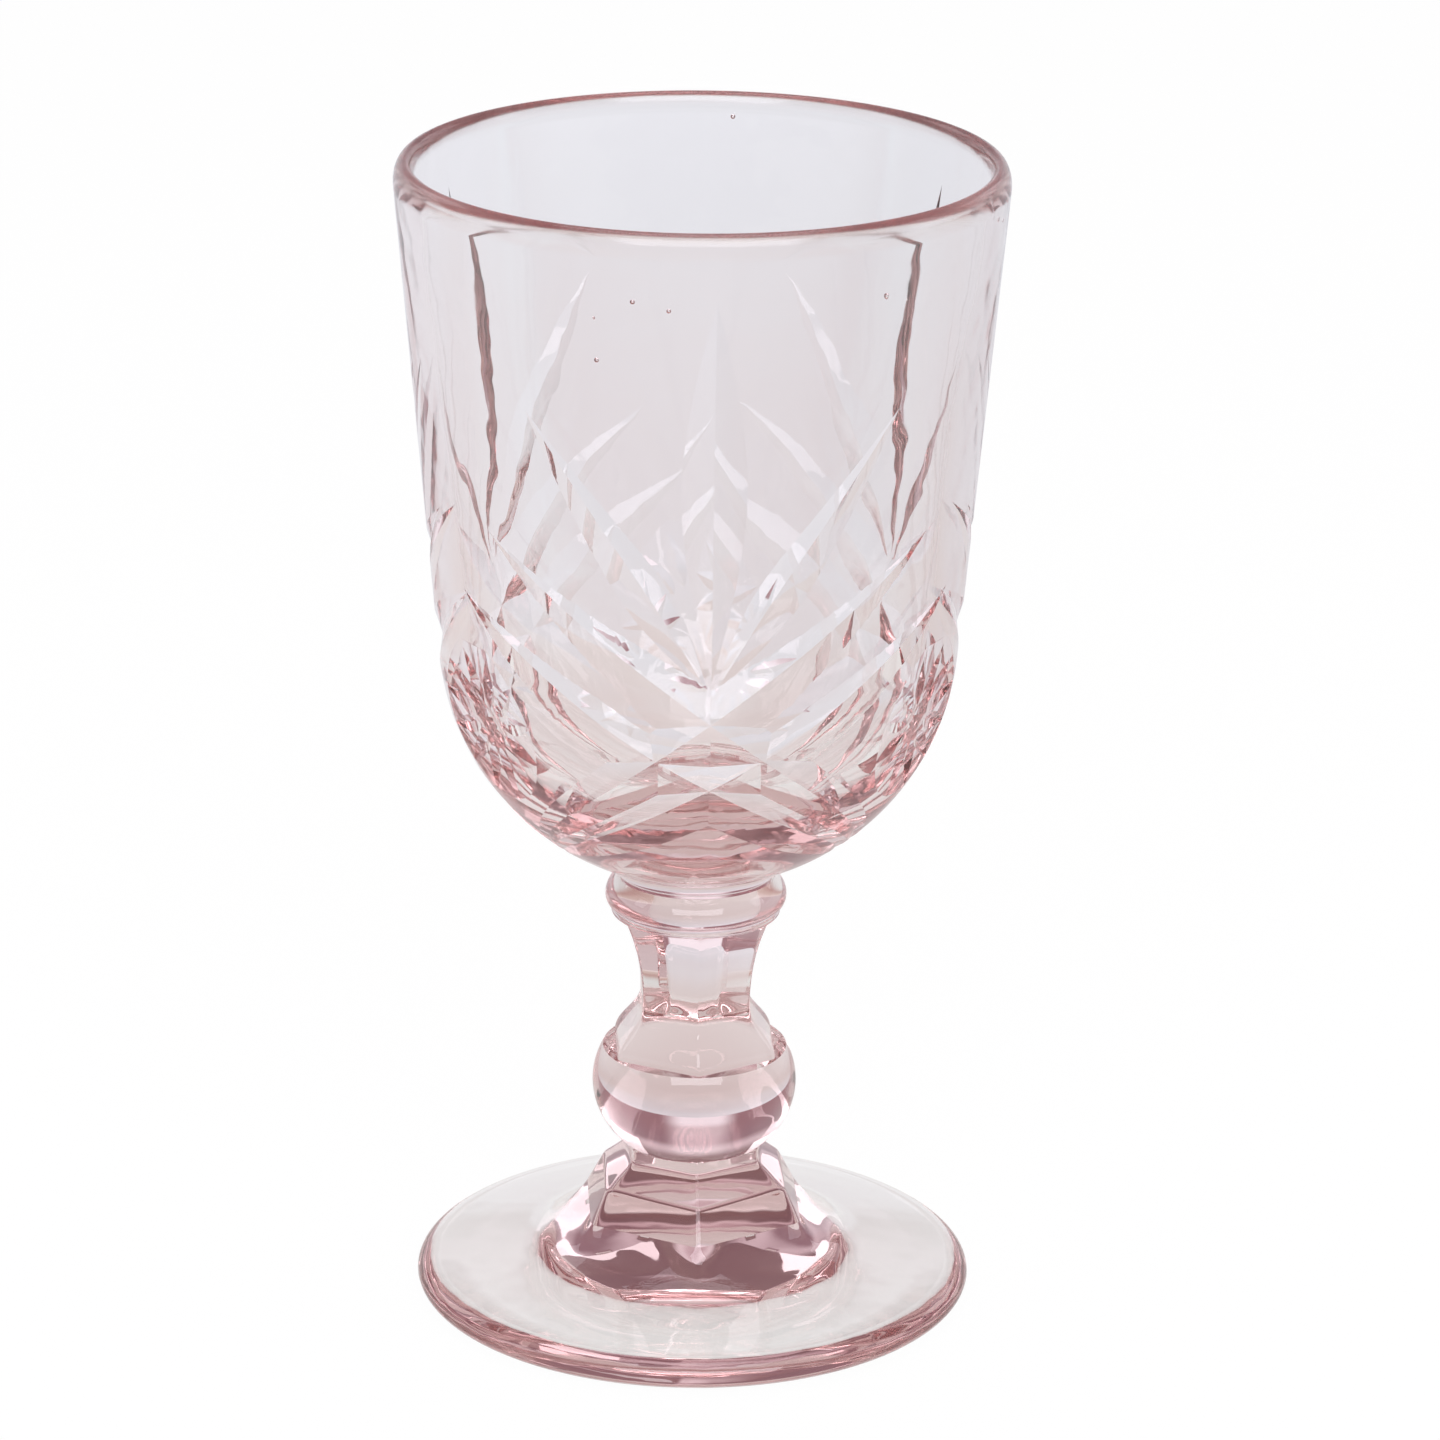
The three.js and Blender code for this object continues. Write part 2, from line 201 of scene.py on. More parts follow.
def make_turning_tree():
    tree, entry = tree_named("turned_section", {"Sides": SIDES, "Softness": 40.0, "Seam": 0.0})
    rows = add(tree, "GeometryNodeAttributeDomainSize", entry["Geometry"], component="MESH")
    columns = calc(tree, "ADD", entry["Sides"], 1.0)
    grid = add(tree, "GeometryNodeMeshGrid", 1.0, 1.0, rows, columns)
    index = add(tree, "GeometryNodeInputIndex")
    row = calc(tree, "FLOOR", calc(tree, "DIVIDE", calc(tree, "ADD", index, 0.5), columns))
    column = calc(tree, "SUBTRACT", index, calc(tree, "MULTIPLY", row, columns))
    place = add(tree, "GeometryNodeInputPosition")
    profile = add(tree, "GeometryNodeSampleIndex", entry["Geometry"], place, row, data_type="FLOAT_VECTOR")
    named = add(tree, "GeometryNodeInputNamedAttribute", "flats", data_type="FLOAT")
    flats = add(tree, "GeometryNodeSampleIndex", entry["Geometry"], named, row, data_type="FLOAT")
    angle = calc(tree, "MULTIPLY", calc(tree, "DIVIDE", column, entry["Sides"]), 2 * math.pi)

    sixth = math.pi / 3
    turn = calc(tree, "FLOORED_MODULO", calc(tree, "ADD", angle, 1e-5), sixth)
    from_flat = calc(tree, "ABSOLUTE", calc(tree, "SUBTRACT", turn, sixth / 2))
    power = entry["Softness"]
    near = calc(tree, "POWER", calc(tree, "COSINE", from_flat), power)
    other = calc(tree, "POWER", calc(tree, "COSINE", calc(tree, "SUBTRACT", sixth, from_flat)), power)
    shrink = calc(tree, "POWER", calc(tree, "ADD", near, other), calc(tree, "DIVIDE", -1.0, power))
    hexagon = calc(tree, "SUBTRACT", calc(tree, "MULTIPLY", shrink, math.cos(sixth / 2)), 1.0)
    share = calc(tree, "ADD", calc(tree, "MULTIPLY", flats, hexagon), 1.0)

    radius = add(tree, "ShaderNodeSeparateXYZ", profile, out=0)
    height = add(tree, "ShaderNodeSeparateXYZ", profile, out=2)
    third = calc(tree, "FLOORED_MODULO", calc(tree, "ADD", angle, sixth), 2 * sixth)
    off_seam = calc(tree, "DIVIDE", calc(tree, "SUBTRACT", third, sixth), SEAM_ANGLE)
    bump = calc(tree, "EXPONENT", calc(tree, "MULTIPLY", calc(tree, "MULTIPLY", off_seam, off_seam), -1.0))
    seam = calc(tree, "MULTIPLY", bump, calc(tree, "MULTIPLY", entry["Seam"], MM))
    stands_out = calc(tree, "MULTIPLY", seam, calc(tree, "GREATER_THAN", radius, SEAM_START * MM))
    reach = calc(tree, "ADD", calc(tree, "MULTIPLY", radius, share), stands_out)
    x = calc(tree, "MULTIPLY", reach, calc(tree, "SINE", angle))
    y = calc(tree, "MULTIPLY", reach, calc(tree, "MULTIPLY", calc(tree, "COSINE", angle), -1.0))
    spun = add(tree, "GeometryNodeSetPosition", grid, True, add(tree, "ShaderNodeCombineXYZ", x, y, height))
    closed = add(tree, "GeometryNodeMergeByDistance", spun, True, CLOSE)
    return finish_tree(tree, add(tree, "GeometryNodeFlipFaces", closed))


turning_tree = make_turning_tree()
print("turning tree:", len(turning_tree.nodes), "nodes")

# %% [markdown]
# ## Profiles
# A profile is a row of points: radius, height and the share of flats. Three functions draw the curves: an arc of an
# ellipse, a quadratic curve between two points, and a fillet that takes the sharpness off each corner, as the fire
# polish does on hot glass.

# %% Helpers for profiles
def arc(centre, radii, start, end, steps, flats=0.0):
    """Points on an ellipse from one angle to another, in degrees."""
    points = []
    for i in range(steps + 1):
        angle = math.radians(start + (end - start) * i / steps)
        points.append((centre[0] + radii[0] * math.cos(angle), centre[1] + radii[1] * math.sin(angle), flats))
    return points


def curve(a, b, c, steps):
    """Points from a to c on a quadratic curve that b pulls, all three with their share of flats."""
    points = []
    for i in range(steps + 1):
        t = i / steps
        points.append(tuple((1 - t) ** 2 * p + 2 * t * (1 - t) * q + t * t * r for p, q, r in zip(a, b, c)))
    return points


def fillet(points, radius, steps=5):
    """The same row of points with each inner corner rounded off."""
    soft = [points[0]]
    for before, corner, after in zip(points, points[1:], points[2:]):
        ends = []
        for other in (before, after):
            away = math.dist(other[:2], corner[:2])
            share = min(radius / away, 0.45)
            ends.append(tuple(c + (o - c) * share for c, o in zip(corner, other)))
        soft += curve(ends[0], corner, ends[1], steps)
    return soft + [points[-1]]


def turned(name, profile, seam=0.0, sides=SIDES):
    """A section turned from its profile, closed at both ends on the axis."""
    mesh = bpy.data.meshes.new(name + "_profile")
    edges = [(i, i + 1) for i in range(len(profile) - 1)]
    mesh.from_pydata([(r * MM, 0, z * MM) for r, z, _ in profile], edges, [])
    flats = mesh.attributes.new("flats", "FLOAT", "POINT")
    flats.data.foreach_set("value", [point[2] for point in profile])
    return run_tree(turning_tree, mesh, name, Sides=sides, Seam=seam)


def volume_of(mesh):
    """Volume in cubic millimetres; it is negative where the faces look inwards."""
    mesh.calc_loop_triangles()
    corners = np.empty(len(mesh.vertices) * 3)
    mesh.vertices.foreach_get("co", corners)
    triangles = np.empty(len(mesh.loop_triangles) * 3, dtype=int)
    mesh.loop_triangles.foreach_get("vertices", triangles)
    a, b, c = corners.reshape(-1, 3)[triangles.reshape(-1, 3)].transpose(1, 0, 2)
    return float((a * np.cross(b, c)).sum() / 6 / MM ** 3)


# %% [markdown]
# ## Stem and foot
# Foot, plinth, knop, neck and collar each get a profile that starts and ends on the axis, in the joint with the
# next section. Both sides of a joint have the same outline, so the glass runs through without a step. The skirt of
# the foot stays round for most of its rise and turns six-sided only close under the plinth.

# %% Profiles of the stem
PLINTH_STEPS = ((14.55, 16.9), (10.95, 19.7), (PLINTH_NECK, 20.4))
NECK_PULL = 50.5
COLLAR_BEAD = ((11.55, 56.55, 0), (12.1, 56.8, 0), (11.75, 57.25, 0))
COLLAR_RING = ((11.75, 57.4, 0), (14.0, 59.2, 0))
CROWN_STEP, CROWN_DROP = 0.15, 0.05
half = JOINT_GAP / 2
hollow = curve((0, HOLLOW, 0), (STAND_INNER * 0.6, HOLLOW, 0), (STAND_INNER, 0, 0), 14)
edge = arc((STAND_OUTER, FOOT_EDGE / 2), (FOOT_RADIUS - STAND_OUTER, FOOT_EDGE / 2), -90, 90, 28)
bend = (PLINTH_CORNER + SKIRT_PULL, CREASE_HEIGHT + SKIRT_RISE, 0)
skirt = curve((CREASE_RADIUS, CREASE_HEIGHT, 0), bend, (PLINTH_CORNER, FOOT_TOP - half, 1), 20)
skirt = [(r, z, flats ** SKIRT_ROUND) for r, z, flats in skirt]
foot_profile = hollow + edge + fillet([edge[-1], skirt[0], skirt[2]], 1.0)[1:-1] + skirt[2:]
foot_profile += [(0, FOOT_TOP - half, 1)]

plinth_corners = [(PLINTH_CORNER, FOOT_TOP + half, 1), *((r, z, 1) for r, z in PLINTH_STEPS),
                  (PLINTH_NECK, PLINTH_TOP - half, 1)]
plinth_profile = [(0, FOOT_TOP + half, 1)] + fillet(plinth_corners, 0.5) + [(0, PLINTH_TOP - half, 1)]

lower = math.degrees(math.acos(KNOP_SEAT / KNOP_RADIUS))
upper = math.degrees(math.acos(CROWN_RADIUS / KNOP_RADIUS))
below = (KNOP_MIDDLE - PLINTH_TOP - 0.2) / math.sin(math.radians(lower))
above = (CROWN_HEIGHT - KNOP_MIDDLE) / math.sin(math.radians(upper))
ball = arc((0, KNOP_MIDDLE), (KNOP_RADIUS, below), -lower, 0, 24)
ball += arc((0, KNOP_MIDDLE), (KNOP_RADIUS, above), 0, upper, 16)[1:]
shoulder = []
for i in range(25):
    ease = (1 + math.cos(math.pi * i / 24)) / 2
    height = CROWN_HEIGHT + CROWN_DROP + (KNOP_TOP - half - CROWN_HEIGHT - CROWN_DROP) * i / 24
    shoulder.append((WAIST + (CROWN_RADIUS - CROWN_STEP - WAIST) * ease, height, 1))
knop_profile = [(0, PLINTH_TOP + half, 1), (PLINTH_NECK, PLINTH_TOP + half, 1)] + ball + shoulder
knop_profile += [(0, KNOP_TOP - half, 1)]

neck_profile = [(0, KNOP_TOP + half, 1)]
neck_profile += curve((WAIST, KNOP_TOP + half, 1), (WAIST, NECK_PULL, 1), (FLARE, NECK_TOP - half, 1), 24)
neck_profile += [(0, NECK_TOP - half, 1)]

collar_profile = [(0, NECK_TOP + half, 1), (FLARE, NECK_TOP + half, 1), (FLARE, NECK_TOP + 0.15, 0.3)]
collar_profile += curve(*COLLAR_BEAD, 8)
collar_profile += curve(*COLLAR_RING, (POST_RADIUS, COLLAR_TOP - half, 0), 30)
collar_profile += [(0, COLLAR_TOP - half, 0)]

stem = {
    "foot": turned("foot", foot_profile, seam=0.05),
    "plinth": turned("plinth", plinth_profile, seam=0.05),
    "knop": turned("knop", knop_profile, seam=0.08),
    "neck": turned("neck", neck_profile, seam=0.08),
    "collar": turned("collar", collar_profile, seam=0.05),
}
for name, mesh in stem.items():
    print(name, len(mesh.polygons), "faces", round(volume_of(mesh)), "mm3")

# %% [markdown]
# ## The outside of the bowl
# Below, the bowl is a ball; above, the cone that touches the ball runs out to the rim. A place on it is given by the
# azimuth from the front and by the way `s` along the wall, from the equator up. The pattern is nearly straight in
# these two, as on an unrolled drawing.

# %% Shape of the bowl
rim_rise = RIM - LIP - EQUATOR
rim_away = math.hypot(RIM_RADIUS, rim_rise)
flare = math.acos(BALL / rim_away) - math.atan2(rim_rise, RIM_RADIUS)
TANGENT = -BALL * flare
RIM_PATH = TANGENT + math.sqrt(rim_away ** 2 - BALL ** 2)


def outside(s):
    """Radius, height and lean of the outside at a way s from the equator."""
    lean = min(s, TANGENT) / BALL
    rest = max(s - TANGENT, 0)
    radius = BALL * math.cos(lean) - rest * math.sin(lean)
    return radius, EQUATOR + BALL * math.sin(lean) + rest * math.cos(lean), lean


def bowl_blank():
    """The bowl before it is cut: ball, cone, round lip and a smooth cup inside."""
    profile = [(0, EQUATOR - BALL, 0)]
    for i in range(1, 61):
        radius, height, _ = outside(-BALL * math.pi / 2 + (TANGENT + BALL * math.pi / 2) * i / 60)
        profile.append((radius, height, 0))
    shoulder_path = RIM_PATH - (LIP_TALL - LIP) / math.cos(flare)
    for i in range(1, 25):
        radius, height, lean = outside(TANGENT + (shoulder_path - TANGENT) * i / 25)
        profile.append((radius, height, 0))
    radius, height, lean = outside(shoulder_path)
    for x, z, _ in arc((radius - LIP_WIDE, height), (LIP_WIDE, LIP_TALL), 0, 90, 30):
        profile.append((x - (z - height) * math.tan(lean), z, 0))
    inner = profile[-1][0] - (RIM_RADIUS - 2 * LIP)
    profile += arc((profile[-1][0], RIM - LIP_INSIDE), (inner, LIP_INSIDE), 90, 180, 24)[1:]
    top = profile[-1]
    for i in range(1, 16):
        share = i / 16
        profile.append((top[0] + (INNER_RADIUS - top[0]) * share, top[1] + (EQUATOR - top[1]) * share, 0))
    profile += arc((0, EQUATOR), (INNER_RADIUS, EQUATOR - FLOOR), 0, -90, 40)
    return turned("bowl_blank", profile)


blank = bowl_blank()
print("blank:", len(blank.polygons), "faces", round(volume_of(blank)), "mm3")

# %% [markdown]
# ## From the unrolled drawing on to the bowl
# Two trees below need the same step: a point of the drawing, with azimuth, way and depth, becomes a place on the
# bowl and the direction out of the glass there. Such a step is best kept as a node group of its own, and used like
# any other node.

# %% Node group for places on the bowl
def make_place_group():
    tree = bpy.data.node_groups.new("place_on_bowl", "GeometryNodeTree")
    tree.interface.new_socket("Drawing", in_out="INPUT", socket_type="NodeSocketVector")
    tree.interface.new_socket("Place", in_out="OUTPUT", socket_type="NodeSocketVector")
    tree.interface.new_socket("Outward", in_out="OUTPUT", socket_type="NodeSocketVector")
    drawing = tree.nodes.new("NodeGroupInput").outputs[0]
    azimuth = calc(tree, "RADIANS", add(tree, "ShaderNodeSeparateXYZ", drawing, out=0))
    s = add(tree, "ShaderNodeSeparateXYZ", drawing, out=1)
    lean = calc(tree, "DIVIDE", calc(tree, "MINIMUM", s, TANGENT), BALL)
    rest = calc(tree, "MAXIMUM", calc(tree, "SUBTRACT", s, TANGENT), 0.0)
    lean_cos, lean_sin = calc(tree, "COSINE", lean), calc(tree, "SINE", lean)
    radius = calc(tree, "SUBTRACT", calc(tree, "MULTIPLY", lean_cos, BALL), calc(tree, "MULTIPLY", lean_sin, rest))
    rise = calc(tree, "ADD", calc(tree, "MULTIPLY", lean_sin, BALL), calc(tree, "MULTIPLY", lean_cos, rest))
    right, front = calc(tree, "SINE", azimuth), calc(tree, "MULTIPLY", calc(tree, "COSINE", azimuth), -1.0)

    def round_axis(reach, height):
        x, y = calc(tree, "MULTIPLY", right, reach), calc(tree, "MULTIPLY", front, reach)
        return add(tree, "ShaderNodeCombineXYZ", x, y, height)

    result = tree.nodes.new("NodeGroupOutput")
    tree.links.new(round_axis(radius, calc(tree, "ADD", rise, EQUATOR)), result.inputs[0])
    tree.links.new(round_axis(lean_cos, lean_sin), result.inputs[1])
    return tree


place_group = make_place_group()
print("place group:", len(place_group.nodes), "nodes")


def placed(tree, drawing):
    node = tree.nodes.new("GeometryNodeGroup")
    node.node_tree = place_group
    tree.links.new(drawing, node.inputs[0])
    return node.outputs[0], node.outputs[1]


# %% [markdown]
# ## A mitre cut that follows a path
# A cutting wheel with a V edge leaves a mitre. The tree sweeps such a V along a row of stops on the unrolled
# drawing: azimuth, way up and depth. It smooths the stops with a spline, lays each point on the bowl, and builds
# three corners there: the edge of the wheel in the glass and two shoulders outside it. The face attribute `source`
# tells the two walls apart later, when the edges between different cuts are marked sharp.

# %% Tree for mitre cutters
def make_mitre_tree():
    tree, entry = tree_named("mitre_cutter", {"Stations": 56, "Slope": 0.24, "Lift": 1.2, "Source": 0})
    path = add(tree, "GeometryNodeMeshToCurve", entry["Geometry"])
    path = add(tree, "GeometryNodeCurveSplineType", path, spline_type="CATMULL_ROM")
    path = add(tree, "GeometryNodeResampleCurve", path, True, entry["Stations"], mode="COUNT")
    place = add(tree, "GeometryNodeInputPosition")
    on_bowl, outward = placed(tree, place)
    depth = add(tree, "ShaderNodeSeparateXYZ", place, out=2)
    path = add(tree, "GeometryNodeStoreNamedAttribute", path, True, "outward", outward, data_type="FLOAT_VECTOR")
    path = add(tree, "GeometryNodeStoreNamedAttribute", path, True, "depth", depth, data_type="FLOAT")
    path = add(tree, "GeometryNodeSetPosition", path, True, on_bowl)

    rows = calc(tree, "ADD", entry["Stations"], 2.0)
    grid = add(tree, "GeometryNodeMeshGrid", 1.0, 1.0, rows, 4)
    index = add(tree, "GeometryNodeInputIndex")
    row = calc(tree, "FLOOR", calc(tree, "DIVIDE", calc(tree, "ADD", index, 0.5), 4.0))
    corner = calc(tree, "FLOORED_MODULO", calc(tree, "SUBTRACT", index, calc(tree, "MULTIPLY", row, 4.0)), 3.0)
    last = calc(tree, "SUBTRACT", entry["Stations"], 1.0)
    station = calc(tree, "MINIMUM", calc(tree, "MAXIMUM", calc(tree, "SUBTRACT", row, 1.0), 0.0), last)
    ahead = calc(tree, "MINIMUM", calc(tree, "ADD", station, 1.0), last)
    behind = calc(tree, "MAXIMUM", calc(tree, "SUBTRACT", station, 1.0), 0.0)
    inner = calc(tree, "COMPARE", row, calc(tree, "ADD", station, 1.0), 0.5)

    def sample(field, at, kind="FLOAT_VECTOR"):
        return add(tree, "GeometryNodeSampleIndex", path, field, at, data_type=kind)

    out_field = add(tree, "GeometryNodeInputNamedAttribute", "outward", data_type="FLOAT_VECTOR")
    depth_field = add(tree, "GeometryNodeInputNamedAttribute", "depth", data_type="FLOAT")
    here, out_here = sample(place, station), sample(out_field, station)
    deep = sample(depth_field, station, "FLOAT")
    along = vector(tree, "SUBTRACT", sample(place, ahead), sample(place, behind))
    aside = vector(tree, "NORMALIZE", vector(tree, "CROSS_PRODUCT", along, out_here))
    whole = calc(tree, "ADD", deep, entry["Lift"])
    is_edge = calc(tree, "MULTIPLY", inner, calc(tree, "COMPARE", corner, 0.0, 0.5))
    up = calc(tree, "SUBTRACT", entry["Lift"], calc(tree, "MULTIPLY", is_edge, whole))
    sign = calc(tree, "SUBTRACT", calc(tree, "COMPARE", corner, 2.0, 0.5), calc(tree, "COMPARE", corner, 1.0, 0.5))
    wide = calc(tree, "MULTIPLY", calc(tree, "MULTIPLY", sign, inner), calc(tree, "DIVIDE", whole, entry["Slope"]))
    point = vector(tree, "ADD", here, vector(tree, "SCALE", out_here, up))
    point = vector(tree, "ADD", point, vector(tree, "SCALE", aside, wide))
    point = vector(tree, "SCALE", point, MM)
    wall = calc(tree, "FLOORED_MODULO", index, 3.0)
    tag = calc(tree, "ADD", entry["Source"], wall)
    cutter = add(tree, "GeometryNodeStoreNamedAttribute", grid, True, "source", tag, data_type="INT", domain="FACE")
    cutter = add(tree, "GeometryNodeSetPosition", cutter, True, point)
    closed = add(tree, "GeometryNodeMergeByDistance", cutter, True, 1e-6)
    return finish_tree(tree, add(tree, "GeometryNodeFlipFaces", closed))


mitre_tree = make_mitre_tree()
print("mitre tree:", len(mitre_tree.nodes), "nodes")

# %% [markdown]
# ## Traces of the press
# The plunger that presses the cup leaves its inside slightly wavy, and small bubbles, called seeds, stay in the
# melt. A displace modifier could make the waves; here a tree moves only the points that face the axis, by a noise
# that grows towards the upper wall. A second tree lays little balls at given places in the wall, to be cut out as
# hollows.

# %% Trees for waves and seeds
WAVE_DEPTH, WAVE_LOW, WAVE_HIGH = 0.45, EQUATOR - 10.0, EQUATOR + 20.0
WAVE_SCALE = (60.0, 60.0, 45.0)


def make_wave_tree():
    tree, entry = tree_named("uneven_inside", {"Depth": WAVE_DEPTH, "Low": WAVE_LOW, "High": WAVE_HIGH})
    place = add(tree, "GeometryNodeInputPosition")
    flat = vector(tree, "MULTIPLY", place, (1.0, 1.0, 0.0))
    radial = vector(tree, "NORMALIZE", flat)
    facing = add(tree, "ShaderNodeVectorMath", add(tree, "GeometryNodeInputNormal"), radial, operation="DOT_PRODUCT")
    inside = calc(tree, "LESS_THAN", facing, -0.5)
    height = calc(tree, "DIVIDE", add(tree, "ShaderNodeSeparateXYZ", place, out=2), MM)
    share = add(tree, "ShaderNodeMapRange", height, entry["Low"], entry["High"], 0.0, 1.0,
                interpolation_type="SMOOTHSTEP")
    scaled = vector(tree, "MULTIPLY", place, WAVE_SCALE)
    noise = add(tree, "ShaderNodeTexNoise", named={"Vector": scaled, "Scale": 1.0, "Detail": 1.0})
    wave = calc(tree, "MULTIPLY", calc(tree, "SUBTRACT", noise, 0.5), calc(tree, "MULTIPLY", entry["Depth"], MM))
    offset = vector(tree, "SCALE", radial, calc(tree, "MULTIPLY", wave, share))
    moved = add(tree, "GeometryNodeSetPosition", entry["Geometry"], inside, place, offset)
    return finish_tree(tree, moved)


def make_seed_tree():
    tree, entry = tree_named("seed_bubbles", {"Small": 0.22, "Large": 0.34, "Seed": 3})
    place = add(tree, "GeometryNodeInputPosition")
    depth = add(tree, "ShaderNodeSeparateXYZ", place, out=2)
    on_bowl, outward = placed(tree, place)
    sunk = vector(tree, "SUBTRACT", on_bowl, vector(tree, "SCALE", outward, depth))
    points = add(tree, "GeometryNodeMeshToPoints", entry["Geometry"])
    points = add(tree, "GeometryNodeSetPosition", points, True, vector(tree, "SCALE", sunk, MM))
    ball = add(tree, "GeometryNodeMeshIcoSphere", MM, 4)
    size = add(tree, "FunctionNodeRandomValue", data_type="FLOAT", out=0,
               named={"Min": entry["Small"], "Max": entry["Large"], "Seed": entry["Seed"]})
    copies = add(tree, "GeometryNodeInstanceOnPoints", points, named={"Instance": ball, "Scale": size})
    return finish_tree(tree, copies)


SEEDS = [(-15.7, 57.2, 1.5), (-8.9, 56.2, 1.4), (-23.0, 48.7, 1.6), (74.0, 61.0, 1.5), (131.0, 40.0, 1.6),
         (-96.0, 66.0, 1.4), (-158.0, 34.0, 1.5), (171.0, 63.0, 1.6)]
wave_tree, seed_tree = make_wave_tree(), make_seed_tree()
seed_places = bpy.data.meshes.new("seed_places")
seed_places.from_pydata(SEEDS, [], [])
seeds = run_tree(seed_tree, seed_places, "seeds")
wavy = run_tree(wave_tree, blank, "bowl_blank")
print("seeds:", len(SEEDS), "of", round(volume_of(seeds), 2), "mm3 in all; blank", round(volume_of(wavy)), "mm3")

# %% [markdown]
# ## Repeating a form round an axis
# An array modifier could repeat a form too. This tree puts copies on points at the axis, each turned a step further,
# and joins them with a boolean, so that copies that overlap become one closed cutter.

# %% Tree for rings of copies
def make_ring_tree():
    tree, entry = tree_named("ring_of_copies", {"Count": 3})
    points = add(tree, "GeometryNodePoints", entry["Count"])
    step = calc(tree, "DIVIDE", add(tree, "GeometryNodeInputIndex"), entry["Count"])
    turn = add(tree, "ShaderNodeCombineXYZ", 0.0, 0.0, calc(tree, "MULTIPLY", step, 2 * math.pi))
    turn = add(tree, "FunctionNodeEulerToRotation", turn)
    copies = add(tree, "GeometryNodeInstanceOnPoints", points,
                 named={"Instance": entry["Geometry"], "Rotation": turn})
    joined = add(tree, "GeometryNodeMeshBoolean", named={"Mesh 2": copies}, operation="UNION", solver="MANIFOLD")
    return finish_tree(tree, add(tree, "GeometryNodeRealizeInstances", joined))


ring_tree = make_ring_tree()
print("ring tree:", len(ring_tree.nodes), "nodes")


def combined(name, operation, first, *others):
    """One closed mesh from several, joined or cut one after the other."""
    base = bpy.data.objects.new(name, first)
    scene.collection.objects.link(base)
    tools = []
    for mesh in others:
        tool = bpy.data.objects.new("tool", mesh)
        scene.collection.objects.link(tool)
        modifier = base.modifiers.new("step", "BOOLEAN")
        modifier.operation, modifier.solver, modifier.object = operation, "MANIFOLD", tool
        tools.append(tool)
    made = bpy.data.meshes.new_from_object(base.evaluated_get(bpy.context.evaluated_depsgraph_get()))
    for thing in tools + [base]:
        bpy.data.objects.remove(thing)
    made.name = name
    return made


# %% [markdown]
# ## The pattern
# One third of the pattern is a fan and a star between two fans. A fan has an upright leaf and three pairs of blades;
# the two lower pairs cross under the leaf, leave a diamond there and fade out under the stars. The star is a ring of
# twelve pointed petals round a plain button: each petal is a short straight mitre in a flat on the ball.

# %% Fans
DEPTH, TIP = 1.3, -0.03
LEAF = [(0, 58.4, TIP), (0, 31.0, DEPTH), (0, 3.6, TIP)]
BLADES = [
    [(39, 41.2, TIP), (24, 26.2, 0.5 * DEPTH), (12, 14.5, 0.65 * DEPTH), (0.5, 2.5, TIP)],
    [(51, 22, TIP), (24, 8.8, 0.6 * DEPTH), (0, -2.7, DEPTH), (-29, -16.5, 0.8 * DEPTH), (-68, -33.5, TIP)],
    [(62, 12, TIP), (36, 1.2, 0.6 * DEPTH), (0, -13.5, DEPTH), (-30, -24.5, 0.75 * DEPTH), (-68, -35.5, TIP)],
]
sources = iter(range(10, 1000, 10))


def mitre(stops):
    mesh = bpy.data.meshes.new("stops")
    mesh.from_pydata(stops, [(i, i + 1) for i in range(len(stops) - 1)], [])
    return run_tree(mitre_tree, mesh, "mitre", Source=next(sources))


def mirrored(mesh):
    """The same cutter on the other side of the fan, with its own tags."""
    other = mesh.copy()
    other.transform(Matrix.Diagonal((-1, 1, 1, 1)))
    other.flip_normals()
    for tag in other.attributes["source"].data:
        tag.value += 5
    return other


fan = [mitre(LEAF)]
for blade in BLADES:
    right_hand = mitre(blade)
    fan += [right_hand, mirrored(right_hand)]
print("mitres of a fan:", [round(volume_of(mesh)) for mesh in fan], "mm3")

# %% Star
STAR_RADIUS, STAR_POINTS, STAR_BUTTON, STAR_DEPTH, STAR_SLOPE, STAR_LIFT = 11.8, 12, 2.9, 0.6, 0.45, 1.2
PETAL = ((0, TIP), (0.12, 0.55), (0.28, 0.95), (0.42, 1.0), (0.6, 0.8), (0.8, 0.42), (1, TIP))
ROSETTE_AZIMUTH, ROSETTE_PATH, ROSETTE_SINK = 60, -9.0, 1.7


def prism(stations, source):
    """A closed V-shaped bar through stations of place and depth, in a plane with +Z out of the glass."""
    along = (Vector(stations[-1][:2]) - Vector(stations[0][:2])).normalized()
    aside = Vector((along.y, -along.x, 0))
    corners = []
    for x, y, depth in stations:
        wide = aside * (depth + STAR_LIFT) / STAR_SLOPE
        middle = Vector((x, y, STAR_LIFT))
        corners += [Vector((x, y, -depth)), middle - wide, middle + wide]
    faces, tags = [(0, 1, 2), tuple(len(corners) - i for i in (1, 2, 3))], [source, source]
    for i in range(0, len(corners) - 3, 3):
        for k in range(3):
            n = (k + 1) % 3
            faces.append((i + k, i + k + 3, i + n + 3, i + n))
            tags.append(source + k)
    mesh = bpy.data.meshes.new("bar")
    mesh.from_pydata([corner * MM for corner in corners], [], faces)
    mesh.attributes.new("source", "INT", "FACE").data.foreach_set("value", tags)
    return mesh


def star_mesh():
    angle = math.pi / STAR_POINTS
    stations = []
    for share, depth in PETAL:
        reach = STAR_BUTTON + (STAR_RADIUS - STAR_BUTTON) * share
        depth = depth if depth == TIP else depth * STAR_DEPTH
        stations.append((reach * math.cos(angle), reach * math.sin(angle), depth))
    bar = prism(stations, next(sources))
    if volume_of(bar) < 0:
        bar.flip_normals()
    return run_tree(ring_tree, bar, "star", Count=STAR_POINTS)


